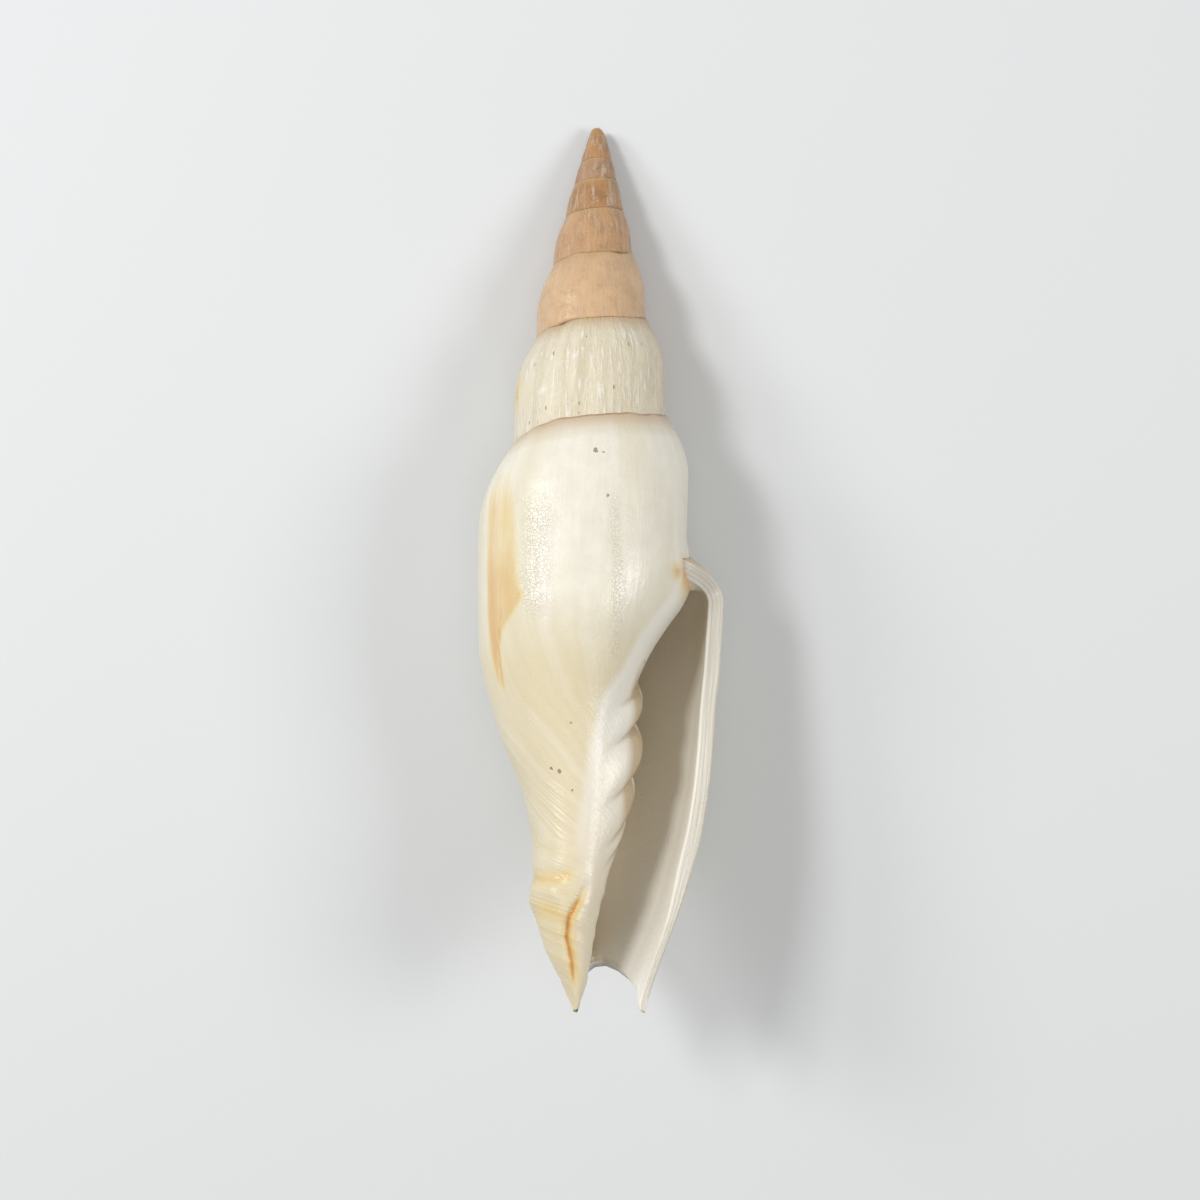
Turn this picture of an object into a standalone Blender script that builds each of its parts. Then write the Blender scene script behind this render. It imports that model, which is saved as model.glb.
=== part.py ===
"""Mitre seashell (Isara swainsonii): one shell lying on its back with its mouth up.

The shell grows as a helicospiral. Growth is measured in turns: 0 at the edge of the outer lip,
-1 one turn earlier, and so on up to the tip. A depth is measured down the coil axis from the tip
of the spire, a radius out from that axis. Both are in millimetres until the mesh is made.
"""

import math

import bmesh
import bpy
import numpy as np
from mathutils import Matrix, Vector

MM = 0.001

# Overall length, from the tip of the spire to the end of the siphonal canal
LENGTH = 119.6

# Growth of the spiral
TURNS = 9
POLE_ABOVE_TIP = 1.8
SUTURE_DEPTH = 59.0
DEPTH_GROWTH = 1.455
SUTURE_RADIUS = 12.6
RADIUS_GROWTH = 1.37
SUTURE_LEAN = 0.032

# Slight sideways bow of the coil axis over the spire: a depth, then how far it stands to the lip's side
AXIS_BOW = (
    (0.0, -0.08),
    (12.0, -0.04),
    (20.0, 0.03),
    (28.0, 0.2),
    (36.0, 0.38),
    (46.0, 0.46),
    (54.0, 0.35),
    (64.0, 0.17),
    (72.0, 0.0),
)

# Rounded shoulder under each suture. It is longer on the spire, whose old whorls are worn
# towards a plain cone.
SHOULDER_DEPTH = 13.0
LIP_SHOULDER_SHARE = 0.53
LIP_SHOULDER_TURNS = 0.15
SPIRE_SHOULDER = 0.3
WEAR = 0.65
WEAR_START = -2.0
WEAR_FULL = -5.0

# Cross-sections of the last whorl. Each row is a depth, then the radius at five stations of
# growth: the pillar side of the mouth, the front, the left, the back and the outer lip.
STATIONS = (-1.0, -0.75, -0.5, -0.25, 0.0)
SECTIONS = (
    (57.0, (12.6, 13.7, 14.9, 16.2, 18.0)),
    (63.0, (12.7, 13.9, 14.7, 16.4, 18.0)),
    (69.0, (10.4, 13.2, 14.3, 16.5, 17.9)),
    (74.0, (7.6, 11.5, 13.8, 16.2, 17.7)),
    (79.0, (5.8, 9.7, 12.4, 15.4, 17.3)),
    (85.0, (5.8, 8.0, 10.2, 14.0, 17.0)),
    (91.0, (5.8, 6.9, 7.5, 12.5, 16.5)),
    (97.0, (4.9, 6.2, 6.1, 11.1, 15.6)),
    (102.0, (3.5, 5.5, 6.0, 10.0, 14.3)),
    (107.0, (2.0, 4.6, 5.6, 8.8, 12.8)),
    (112.0, (1.1, 3.3, 3.9, 6.4, 11.0)),
    (116.0, (0.9, 1.8, 1.8, 4.4, 9.7)),
    (LENGTH, (0.3, 0.4, 0.3, 2.4, 8.8)),
)

# Folds on the pillar: where each starts and ends at the mouth, and how far it stands out
FOLDS = (
    (76.5, 81.1, 1.55),
    (81.1, 88.0, 1.8),
    (88.0, 93.6, 0.95),
    (93.6, 96.3, 0.4),
)
FOLD_GROWTH = 1.42
FOLD_FADE_START = -0.96
FOLD_FADE_END = -0.81

# Fasciole: the raised track that the siphonal notch leaves round the foot of the pillar. Each
# row is a turn, then the depth of the crest there.
FASCIOLE = (
    (-0.78, 109.5),
    (-0.70, 106.5),
    (-0.62, 104.5),
    (-0.50, 104.4),
    (-0.35, 107.0),
    (-0.10, 114.0),
)
FASCIOLE_START = -0.79
FASCIOLE_END = -0.10
FASCIOLE_FADE = 0.15
FASCIOLE_HALF_WIDTH = 2.6
FASCIOLE_HEIGHT = 0.55

# Hollow of the last turn, open at the mouth
WALL = 1.5
LIP_WALL = 2.0
LIP_WALL_TURNS = 0.08
HOLLOW_TURNS = 0.9
HOLLOW_TOP_GAP = 1.6
CANAL_OPEN_DEPTH = 122.0
CANAL_OPEN_TURNS = 0.17
HOLLOW_LEFT_DEPTH = 93.0
LEAST_HOLLOW = 0.6
CORE_RADIUS = 3.4
CORE_START = 0.05
CORE_END = 0.25
MOUTH_BITE = 0.15
MOUTH_CLEARANCE = 0.6

# Siphonal notch, cut through the end of the canal
NOTCH_CENTRE = (4.6, 119.6)
NOTCH_HALF_WIDTH = 3.75
NOTCH_HALF_DEPTH = 5.3
NOTCH_PLUG_HEIGHT = 60.0

# How the shell lies: mouth up, tipped until its belly and its spire both touch, and worn flat
# there. The coil axis starts at this height over the table, at the tip of the spire.
PITCH = math.radians(-13.0)
TIP_HEIGHT = 1.6

# Mesh density
COLUMNS_PER_TURN = 30
SHOULDER_ROWS = (0.0, 0.05, 0.12, 0.22, 0.36, 0.6, 1.0)
BODY_BREAKS = (0.0, 0.264, 0.644, 1.0)
BODY_ROWS = (7, 22, 9)
HOLLOW_COLUMNS = 24
HOLLOW_OUTER_ROWS = 20
HOLLOW_BREAKS = (0.0, 0.233, 0.608, 1.0)
HOLLOW_INNER_ROWS = (5, 22, 9)
NOTCH_SIDES = 32


def smoothstep(value):
    share = min(max(value, 0.0), 1.0)
    return share * share * (3.0 - 2.0 * share)


def bump(offset, half_width):
    """A rounded ridge, 1 at its crest and 0 beyond its half width."""
    share = min(abs(offset) / half_width, 1.0)
    return 0.5 + 0.5 * math.cos(math.pi * share)


def spline(knots, values, at):
    """Catmull-Rom curve through values given at rising knots."""
    last = len(knots) - 1
    at = min(max(at, knots[0]), knots[-1])
    index = 0
    while index < last - 1 and at > knots[index + 1]:
        index += 1

    def slope(i):
        low = max(i - 1, 0)
        high = min(i + 1, last)
        return (values[high] - values[low]) / (knots[high] - knots[low])

    span = knots[index + 1] - knots[index]
    u = (at - knots[index]) / span
    start = values[index]
    end = values[index + 1]
    rise = slope(index) * span
    fall = slope(index + 1) * span
    return (
        start * (1 + 2 * u) * (1 - u) ** 2
        + rise * u * (1 - u) ** 2
        + end * u * u * (3 - 2 * u)
        - fall * u * u * (1 - u)
    )


def spread(breaks, rows):
    """Shares from 0 to 1 with a given number of even rows between one break and the next."""
    shares = [0.0]
    for low, high, count in zip(breaks, breaks[1:], rows):
        shares += [low + (high - low) * (row + 1) / count for row in range(count)]
    return shares


def suture_depth(turn):
    """Depth of the suture, which drops faster on the left of the shell than on the right."""
    lean = 1.0 + SUTURE_LEAN * math.cos(2 * math.pi * turn)
    return SUTURE_DEPTH * DEPTH_GROWTH**turn * lean - POLE_ABOVE_TIP


def suture_radius(turn):
    return SUTURE_RADIUS * RADIUS_GROWTH**turn


def shoulder_depth(turn):
    """Depth that the rounded shoulder takes. It is shorter where the lip flares."""
    near_lip = smoothstep((turn + LIP_SHOULDER_TURNS) / LIP_SHOULDER_TURNS)
    on_spire = 1 + SPIRE_SHOULDER * smoothstep((-1.2 - turn) / 1.3)
    return SHOULDER_DEPTH * DEPTH_GROWTH**turn * on_spire * (1 - (1 - LIP_SHOULDER_SHARE) * near_lip)


def plateau_radius(turn, depth):
    """Radius of the whorl's side below its shoulder, without folds or fasciole."""
    if turn < -1.0:
        return suture_radius(turn + 1)
    depths = [row[0] for row in SECTIONS]
    around = [spline(depths, [row[1][i] for row in SECTIONS], depth) for i in range(len(STATIONS))]
    return spline(STATIONS, around, turn)


def fold_height(turn, depth):
    """Height of the pillar's folds. They spiral with the growth and fade out on the front."""
    growth = FOLD_GROWTH ** (turn + 1)
    strength = 1 - smoothstep((turn - FOLD_FADE_START) / (FOLD_FADE_END - FOLD_FADE_START))
    height = 0.0
    for start, end, stands_out in FOLDS:
        top = (start + POLE_ABOVE_TIP) * growth - POLE_ABOVE_TIP
        foot = (end + POLE_ABOVE_TIP) * growth - POLE_ABOVE_TIP
        share = min(max((depth - top) / (foot - top), 0.0), 1.0)
        height += stands_out * (4 * share * (1 - share)) ** 0.7
    return height * strength


def fasciole_height(turn, depth):
    turns = [row[0] for row in FASCIOLE]
    crest = np.interp(turn, turns, [row[1] for row in FASCIOLE])
    starts = smoothstep((turn - FASCIOLE_START) / FASCIOLE_FADE)
    ends = smoothstep((FASCIOLE_END - turn) / FASCIOLE_FADE)
    return FASCIOLE_HEIGHT * bump(depth - crest, FASCIOLE_HALF_WIDTH) * starts * ends


def outer_radius(turn, depth):
    """Radius of the shell's outside at a turn of growth and a depth below its suture."""
    base = suture_radius(turn)
    below = (depth - suture_depth(turn)) / shoulder_depth(turn)
    rise = 1 - (1 - min(max(below, 0.0), 1.0)) ** 2
    height = suture_depth(turn + 1) - suture_depth(turn)
    straight = min(max((depth - suture_depth(turn)) / height, 0.0), 1.0)
    worn = WEAR * smoothstep((WEAR_START - turn) / (WEAR_START - WEAR_FULL))
    rise += (straight - rise) * worn
    radius = base + (plateau_radius(turn, depth) - base) * rise
    if turn > -1.0 or depth > suture_depth(turn + 1):
        radius += fold_height(turn, depth) + fasciole_height(turn, depth)
    return radius


def pillar_radius(turn, depth):
    """Radius of the earlier whorl's hidden side, the inner wall of the hollow at this turn."""
    back = DEPTH_GROWTH**turn
    scaled = (depth + POLE_ABOVE_TIP) / back - POLE_ABOVE_TIP
    depths = [row[0] for row in SECTIONS]
    radius = spline(depths, [row[1][0] for row in SECTIONS], scaled)
    return radius * RADIUS_GROWTH**turn + fold_height(turn - 1, depth)


def pillar_core(turn):
    """Least radius of the pillar, which thickens behind the mouth."""
    behind = smoothstep((-turn - CORE_START) / (CORE_END - CORE_START))
    return CORE_RADIUS * behind * RADIUS_GROWTH**turn


def place(turn, depth, radius):
    """Point in metres, with the coil axis along Y, the tip towards +Y and the mouth up."""
    angle = 2 * math.pi * turn
    bow = np.interp(depth, [row[0] for row in AXIS_BOW], [row[1] for row in AXIS_BOW])
    point = Vector((radius * math.cos(angle) + bow, -depth, radius * math.sin(angle)))
    return lie_down @ point * MM


def column(turn):
    """Depths of one column of points, from its suture down."""
    top = suture_depth(turn)
    end = suture_depth(turn + 1)
    depths = [top + (end - top) * share for share in SHOULDER_ROWS]
    if turn > -1.0 - 0.5 / COLUMNS_PER_TURN:
        depths += [end + (LENGTH - end) * share for share in spread(BODY_BREAKS, BODY_ROWS)[1:]]
    return depths


def make_outside(name):
    """The shell as one filled body: a strip wound round the axis, closed at mouth and ends."""
    mesh = bmesh.new()
    steps = TURNS * COLUMNS_PER_TURN
    columns = []
    for step in range(steps + 1):
        turn = (step - steps) / COLUMNS_PER_TURN
        points = [(depth, outer_radius(turn, depth)) for depth in column(turn)]
        columns.append([mesh.verts.new(place(turn, depth, radius)) for depth, radius in points])

    # The foot of each whorl of the spire is the suture of the next
    join_row = len(SHOULDER_ROWS) - 1
    for above, below in zip(columns, columns[COLUMNS_PER_TURN:]):
        mesh.verts.remove(above[join_row])
        above[join_row] = below[0]

    for left, right in zip(columns, columns[1:]):
        for row in range(min(len(left), len(right)) - 1):
            mesh.faces.new((left[row], left[row + 1], right[row + 1], right[row]))

    # Tip of the spire
    rim = [points[0] for points in columns[: COLUMNS_PER_TURN + 1]] + columns[0][join_row - 1 : 0 : -1]
    tip = mesh.verts.new(place(0.0, 0.0, 0.0))
    for first, second in zip(rim, rim[1:] + rim[:1]):
        mesh.faces.new((first, second, tip))

    # Flat across the mouth, and the foot of the last whorl
    last_turn = columns[steps - COLUMNS_PER_TURN :]
    mesh.faces.new(last_turn[-1] + last_turn[0][:join_row:-1])
    mesh.faces.new([points[-1] for points in last_turn])
    return finish_mesh(mesh, name)


def hollow_section(turn):
    """Outline of the hollow at a turn, down its outer wall and up its inner one."""
    growth = DEPTH_GROWTH**turn
    wall = WALL + (LIP_WALL - WALL) * smoothstep((turn + LIP_WALL_TURNS) / LIP_WALL_TURNS)
    wall *= min(1.0, 0.4 + 0.6 * growth)
    top = suture_depth(turn) + HOLLOW_TOP_GAP * growth
    if turn > -0.5:
        closing = smoothstep((-CANAL_OPEN_TURNS - turn) / (0.5 - CANAL_OPEN_TURNS))
        bottom = CANAL_OPEN_DEPTH + (HOLLOW_LEFT_DEPTH - CANAL_OPEN_DEPTH) * closing
    else:
        bottom = (HOLLOW_LEFT_DEPTH + POLE_ABOVE_TIP) * DEPTH_GROWTH ** (turn + 0.5)
        bottom -= POLE_ABOVE_TIP
    outline = []
    for row in range(HOLLOW_OUTER_ROWS + 1):
        share = row / HOLLOW_OUTER_ROWS
        depth = top + (bottom - top) * share**1.5
        outline.append((depth, hollow_outer(turn, depth, wall)))
    for share in reversed(spread(HOLLOW_BREAKS, HOLLOW_INNER_ROWS)):
        depth = top + (bottom - top) * share
        inner = max(pillar_radius(turn, depth) - MOUTH_BITE, pillar_core(turn))
        inner = min(inner, hollow_outer(turn, depth, wall) - LEAST_HOLLOW * growth)
        outline.append((depth, inner))
    return outline


def hollow_outer(turn, depth, wall):
    held = min(depth, LENGTH)
    radius = outer_radius(turn, held)
    if turn > -1.0:
        radius -= fold_height(turn, held) + fasciole_height(turn, held)
    return radius - wall


def make_hollow(name):
    """The space inside the last turn, lofted from its sections, standing out of the mouth."""
    mesh = bmesh.new()
    loops = []
    for index in range(HOLLOW_COLUMNS + 1):
        turn = HOLLOW_TURNS * (index / HOLLOW_COLUMNS - 1)
        loops.append([place(turn, depth, radius) for depth, radius in hollow_section(turn)])
    inner_from = HOLLOW_OUTER_ROWS + 1
    raised = []
    for index, (depth, radius) in enumerate(hollow_section(0.0)):
        shift = 2 * MOUTH_BITE if index >= inner_from else 0.0
        up = lie_down @ Vector((0.0, 0.0, MOUTH_CLEARANCE)) * MM
        raised.append(place(0.0, depth, radius + shift) + up)
    loops.append(raised)
    rings = [[mesh.verts.new(point) for point in loop] for loop in loops]
    for first, second in zip(rings, rings[1:]):
        count = len(first)
        for index in range(count):
            after = (index + 1) % count
            mesh.faces.new((first[index], first[after], second[after], second[index]))
    mesh.faces.new(rings[0])
    mesh.faces.new(rings[-1])
    return finish_mesh(mesh, name)


def make_notch(name):
    """A tall oval plug that leaves the siphonal notch between the two tips."""
    mesh = bmesh.new()
    bmesh.ops.create_cone(
        mesh,
        cap_ends=True,
        segments=NOTCH_SIDES,
        radius1=1.0,
        radius2=1.0,
        depth=NOTCH_PLUG_HEIGHT,
    )
    x, depth = NOTCH_CENTRE
    for vert in mesh.verts:
        across = x + vert.co.x * NOTCH_HALF_WIDTH
        along = vert.co.y * NOTCH_HALF_DEPTH - depth
        vert.co = lie_down @ Vector((across, along, vert.co.z)) * MM
    return finish_mesh(mesh, name)


def make_table_cut(name):
    """A block whose top is the flat spot that the shell lies on."""
    mesh = bmesh.new()
    block = 2.0 * LENGTH
    middle = Vector((0.0, -LENGTH / 2, -TIP_HEIGHT - block / 2)) * MM
    bmesh.ops.create_cube(mesh, size=block * MM, matrix=Matrix.Translation(middle))
    return finish_mesh(mesh, name)


def finish_mesh(mesh, name):
    bmesh.ops.recalc_face_normals(mesh, faces=mesh.faces)
    data = bpy.data.meshes.new(name)
    mesh.to_mesh(data)
    mesh.free()
    return bpy.data.objects.new(name, data)


def shell_material():
    """Glossy cream porcelain of the shell."""
    material = bpy.data.materials.new("cream_shell")
    material.use_nodes = True
    shader = material.node_tree.nodes["Principled BSDF"]
    shader.inputs["Base Color"].default_value = (0.75, 0.62, 0.45, 1.0)
    shader.inputs["Roughness"].default_value = 0.35
    shader.inputs["Metallic"].default_value = 0.0
    return material


def clear_scene():
    for item in list(bpy.data.objects):
        bpy.data.objects.remove(item, do_unlink=True)


def new_collection(name):
    collection = bpy.data.collections.new(name)
    bpy.context.scene.collection.children.link(collection)
    return collection


clear_scene()
lie_down = Matrix.Rotation(PITCH, 3, "X")

shell_parts = new_collection("mitre_seashell")
cutter_parts = new_collection("cutters")
cutter_parts.hide_render = True

shell = make_outside("shell")
shell_parts.objects.link(shell)
shell.data.materials.append(shell_material())

hollow = make_hollow("hollow_cutter")
notch = make_notch("notch_cutter")
table = make_table_cut("table_cutter")
for cutter in (hollow, notch, table):
    cutter.hide_render = True
    cutter.display_type = "WIRE"
    cutter_parts.objects.link(cutter)
    cut = shell.modifiers.new(cutter.name, "BOOLEAN")
    cut.operation = "DIFFERENCE"
    cut.solver = "EXACT"
    cut.object = cutter

shell.data.shade_smooth()
shell.data.set_sharp_from_angle(angle=math.radians(40))

# The object's origin is under the middle of its box, on the flat
bpy.context.view_layer.update()
cut_shell = shell.evaluated_get(bpy.context.evaluated_depsgraph_get())
corners = np.array([corner[:] for corner in cut_shell.bound_box])
middle = (corners.min(axis=0) + corners.max(axis=0)) / 2
shift = Vector((-middle[0], -middle[1], TIP_HEIGHT * MM))
for item in list(shell_parts.objects) + list(cutter_parts.objects):
    item.data.transform(Matrix.Translation(shift))
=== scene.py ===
"""Mitre seashell (Isara swainsonii), on its back with the mouth up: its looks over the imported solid."""

import math

import bmesh
import bpy
import numpy as np
from mathutils import Matrix, Vector, noise


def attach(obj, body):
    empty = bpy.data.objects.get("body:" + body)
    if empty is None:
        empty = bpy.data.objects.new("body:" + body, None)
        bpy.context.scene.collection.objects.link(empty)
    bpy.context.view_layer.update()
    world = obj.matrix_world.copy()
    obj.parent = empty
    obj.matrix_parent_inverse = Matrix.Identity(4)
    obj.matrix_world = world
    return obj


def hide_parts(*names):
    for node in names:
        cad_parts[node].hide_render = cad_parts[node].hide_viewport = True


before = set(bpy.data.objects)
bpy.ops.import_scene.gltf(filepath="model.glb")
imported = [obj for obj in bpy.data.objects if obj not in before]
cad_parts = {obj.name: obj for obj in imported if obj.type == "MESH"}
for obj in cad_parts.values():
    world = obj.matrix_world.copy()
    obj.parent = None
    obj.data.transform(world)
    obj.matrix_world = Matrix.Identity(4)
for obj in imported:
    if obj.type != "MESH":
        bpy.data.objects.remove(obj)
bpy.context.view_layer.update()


# The shell. It is one piece of aragonite that the animal laid down along the edge of its mouth
# while it turned round an almost straight axis: a long spire of rounded whorls, then a tall last
# whorl with a thin wall, an open mouth, four folds on the pillar and a notch at the foot.
#
# Sizes are in millimetres. Growth is measured in turns: 0 at the outer lip, -1 one turn earlier.
# A depth is measured down the axis from the tip of the spire, a radius out from that axis.
MM = 0.001
LENGTH = 119.6
TURNS = 9
POLE_ABOVE_TIP = 1.8
TIP_RISE = 0.25
TIP_RISE_TURNS = 0.9
TIP_TURNS = 0.6
SUTURE_DEPTH = 59.0
DEPTH_GROWTH = 1.455
SUTURE_RADIUS = 12.6
RADIUS_GROWTH = 1.37
SUTURE_LEAN = 0.032
SHOULDER_DEPTH = 13.0
LIP_SHOULDER_SHARE = 0.53
LIP_SHOULDER_TURNS = 0.15
SPIRE_SHOULDER = 0.3
SPIRE_SHOULDER_TURNS = (-2.5, -1.2)

# The oldest whorls are worn towards a plain cone, and the tip is worn flat
WEAR = 0.65
WEAR_TURNS = (-5.0, -2.0)
WORN_TIP = 0.2

# The axis isn't quite straight: a depth, then how far it stands to the lip's side there
AXIS_BOW = (
    (0.0, -0.08),
    (12.0, -0.04),
    (20.0, 0.03),
    (28.0, 0.2),
    (36.0, 0.38),
    (46.0, 0.46),
    (54.0, 0.35),
    (64.0, 0.17),
    (72.0, 0.0),
)

# Side of the last whorl: a depth, then its radius at the pillar, front, left, back and lip
STATIONS = (-1.0, -0.75, -0.5, -0.25, 0.0)
SECTIONS = (
    (57.0, (12.6, 13.7, 14.9, 16.2, 18.0)),
    (63.0, (13.5, 13.9, 14.7, 16.4, 18.0)),
    (66.0, (12.6, 13.6, 14.5, 16.45, 17.95)),
    (69.0, (10.6, 13.2, 14.3, 16.5, 17.9)),
    (74.0, (7.6, 11.5, 13.8, 16.2, 17.7)),
    (79.0, (5.8, 9.7, 12.4, 15.4, 17.3)),
    (85.0, (5.8, 8.0, 10.2, 14.0, 17.0)),
    (91.0, (5.8, 6.9, 7.5, 12.5, 16.5)),
    (97.0, (4.9, 6.2, 6.1, 11.1, 15.6)),
    (102.0, (3.5, 5.5, 6.0, 10.0, 14.3)),
    (107.0, (2.0, 4.6, 5.6, 8.8, 12.8)),
    (112.0, (1.1, 3.3, 3.9, 6.4, 11.0)),
    (116.0, (0.9, 1.8, 1.8, 4.4, 9.7)),
    (LENGTH, (0.15, 0.2, 0.15, 2.4, 8.8)),
)

# Folds on the pillar: where each starts and ends at the mouth, and how far it stands out. They
# begin deep inside the shell and fade out on its front.
FOLDS = (
    (76.5, 81.1, 1.55),
    (81.1, 88.0, 1.8),
    (88.0, 93.6, 0.95),
    (93.6, 96.3, 0.4),
)
FOLD_GROWTH = 1.42
FOLD_FADE = (-0.96, -0.81)
FOLDS_SINCE = -2.05

# Fasciole, the raised track that the siphonal notch leaves round the foot: a turn, then the depth
# of its crest and of the groove above it. At the front it turns down beside the chink.
FASCIOLE = (
    (-0.78, 109.5, 101.4),
    (-0.72, 108.0, 102.0),
    (-0.697, 106.5, 102.4),
    (-0.679, 105.6, 102.7),
    (-0.655, 105.0, 102.9),
    (-0.616, 104.5, 102.7),
    (-0.5, 104.4, 102.2),
    (-0.35, 107.0, 104.4),
    (-0.1, 114.0, 111.2),
)
FASCIOLE_HALF_WIDTH = 2.7
FASCIOLE_HEIGHT = 0.55
FASCIOLE_START = (-0.79, -0.64)
FASCIOLE_END = (-0.3, -0.1)
GROOVE_HALF_WIDTH = 1.3
GROOVE_SINK = 0.32

# Chink between the fasciole and the glaze on the pillar: a depth, its turn and how deep it is
CHINK = (
    (103.2, -0.780, 0.0),
    (104.6, -0.766, 0.2),
    (106.3, -0.735, 0.4),
    (108.1, -0.703, 0.55),
    (110.5, -0.683, 0.55),
    (113.8, -0.703, 0.4),
    (115.5, -0.702, 0.3),
    (117.6, -0.692, 0.0),
)
CHINK_HALF_WIDTH = 0.4

# Low lobes on both sides of the chink: height, how far to the left and half width
CHINK_LOBES = ((0.15, 1.1, 0.8), (0.3, -1.3, 1.0))

# Glaze along the mouth: its left edge, as a depth and a turn, and how thick it lies there
GLAZE_EDGE = (
    (58.0, -0.97),
    (66.0, -0.906),
    (71.0, -0.865),
    (76.0, -0.836),
    (80.0, -0.79),
    (88.0, -0.765),
    (98.0, -0.733),
    (104.0, -0.765),
    (LENGTH, -0.72),
)
GLAZE = 0.06
GLAZE_BEVEL = 1.6

# Single pits in the last whorl: a turn, a depth and how wide
PITS = (
    (-0.759, 48.4, 0.6),
    (-0.772, 48.7, 0.35),
    (-0.778, 54.4, 0.35),
    (-0.866, 49.0, 0.3),
    (-0.721, 83.4, 0.4),
    (-0.66, 89.0, 0.35),
    (-0.683, 89.4, 0.45),
    (-0.721, 91.8, 0.3),
    (-0.923, 74.4, 0.4),
)

# Yellow patch on the left of the last whorl: its right edge, as a depth and a turn
PATCH_EDGE = (
    (50.0, -0.62),
    (54.7, -0.637),
    (62.8, -0.648),
    (66.5, -0.655),
    (67.2, -0.665),
    (69.5, -0.641),
    (71.4, -0.617),
    (75.0, -0.592),
    (79.0, -0.578),
)

# Growth lines run on ahead towards the foot: a depth, then by how many turns. Distances between
# them are measured on a path round the shell, with its radius at the lip and its whole length.
LINE_BEND = (
    (72.0, 0.0),
    (80.0, 0.02),
    (90.0, 0.135),
    (98.0, 0.335),
    (104.0, 0.685),
    (110.0, 1.2),
    (LENGTH, 2.0),
)
PATH_RADIUS = 17
PATH_LENGTH = 339.0

# Uneven growth: how far the surface strays, and over what length. The ripple follows the growth
# lines, the wrinkles lie on the foot and end before the lip, and the sutures wander.
UNEVEN = 0.09
UNEVEN_WAVE = 9.0
RIPPLE = 0.035
RIPPLE_WAVE = 1.7
RIPPLE_LENGTH = 15.0
RIPPLE_END = (78.0, 88.0)
WRINKLE = 0.16
WRINKLE_WAVE = 13.0
WRINKLE_LENGTH = 9.0
WRINKLE_START = (96.0, 102.0)
WRINKLE_END_TURNS = (-0.4, -0.15)
SUTURE_WANDER = 0.6
SUTURE_WANDER_WAVE = 4.0
LAST_SUTURE_SHARE = 0.5

# Wall, its rounded rim, and the edge of each whorl where it lies on the one before
WALL = 1.5
LIP_WALL = 2.0
LIP_WALL_TURNS = 0.08
RIM_BULGE = 0.2
RIM_RIPPLE = 0.07
LIP_FOOT_WALL = 0.5
LIP_FOOT = (98.0, 112.0)
LIP_FOOT_TURNS = 0.2
RIM_LINES = 9
RIM_LINE_LENGTH = 14.0
CORNER_PAD = 2.6
EDGE_ROUND = 1.2
FOOT_ROUND = 1.2
HIDDEN_OVERLAP = 0.6
SUTURE_STEP = 0.12
SUTURE_STEP_FADE = (0.4, 3.4)
SUTURE_BURIED = 0.35
SUTURE_ROUND = 0.35
LIP_REACH = 0.07
LIP_REACH_DEPTH = 5.0
LIP_REACH_TURNS = 0.12
CORE_RADIUS = 3.4
CORE_START = 0.05
CORE_END = 0.25
CORE_FOOT = (98.0, 112.0)
LEAST_GAP = 0.3
POINT_LENGTH = 3.0
POINT_TURNS = (-0.45, -0.25)

# What keeps the end of the foot from closing to nothing, and a wall too thin to have an inside
POINT_OPEN = 0.02
THIN_WALL = 0.02

# Siphonal notch: how deep the shell reaches at a distance from the axis, across the mouth
NOTCH = (
    (0.2, 118.5),
    (0.9, 114.6),
    (2.2, 113.4),
    (3.6, 113.2),
    (5.2, 113.9),
    (6.8, 115.1),
    (7.7, 116.3),
    (8.3, 117.0),
    (8.6, LENGTH),
)

# Lie of the shell: mouth up and the tip low, on flats under its belly and its spire
PITCH = math.radians(-13.0)
PLACE = Vector((-1.737, 58.615, 1.6))


def smooth(value):
    share = np.clip(value, 0.0, 1.0)
    return share * share * (3.0 - 2.0 * share)


def rising(value, start, end):
    """From 0 at the start to 1 at the end, with no corner at either."""
    return smooth((value - start) / (end - start))


def rounded(value):
    """Quarter circle from 0 to 1."""
    share = np.clip(value, 0.0, 1.0)
    return np.sqrt(1.0 - (1.0 - share) ** 2)


def look_up(table, at, column=1):
    """Straight-line reading of a column of a table whose first column rises."""
    return np.interp(at, [row[0] for row in table], [row[column] for row in table])


def spline(knots, values, at):
    """Catmull-Rom curve through values at rising knots. Each point of `at` may have its own values."""
    knots = np.asarray(knots, float)
    values = np.asarray(values, float)
    if values.ndim == 1:
        values = values[:, None] * np.ones(len(at))
    at = np.clip(at, knots[0], knots[-1])
    first = np.clip(np.searchsorted(knots, at, side="right") - 1, 0, len(knots) - 2)
    point = np.arange(len(at))
    before = np.maximum(first - 1, 0)
    after = np.minimum(first + 2, len(knots) - 1)
    start = values[first, point]
    end = values[first + 1, point]
    span = knots[first + 1] - knots[first]
    rise = (end - values[before, point]) / (knots[first + 1] - knots[before]) * span
    fall = (values[after, point] - start) / (knots[after] - knots[first]) * span
    u = (at - knots[first]) / span
    from_start = start * (1 + 2 * u) * (1 - u) ** 2 + rise * u * (1 - u) ** 2
    return from_start + end * u * u * (3 - 2 * u) - fall * u * u * (1 - u)


def suture_depth(turn):
    lean = 1.0 + SUTURE_LEAN * np.cos(2 * math.pi * turn)
    raised = TIP_RISE * (1 - smooth((turn + TURNS) / TIP_RISE_TURNS))
    return SUTURE_DEPTH * DEPTH_GROWTH**turn * lean - POLE_ABOVE_TIP - raised


def suture_radius(turn):
    """Radius of the suture. The first turn starts at the axis, and so closes the tip."""
    return SUTURE_RADIUS * RADIUS_GROWTH**turn * smooth((turn + TURNS) / TIP_TURNS)


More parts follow.
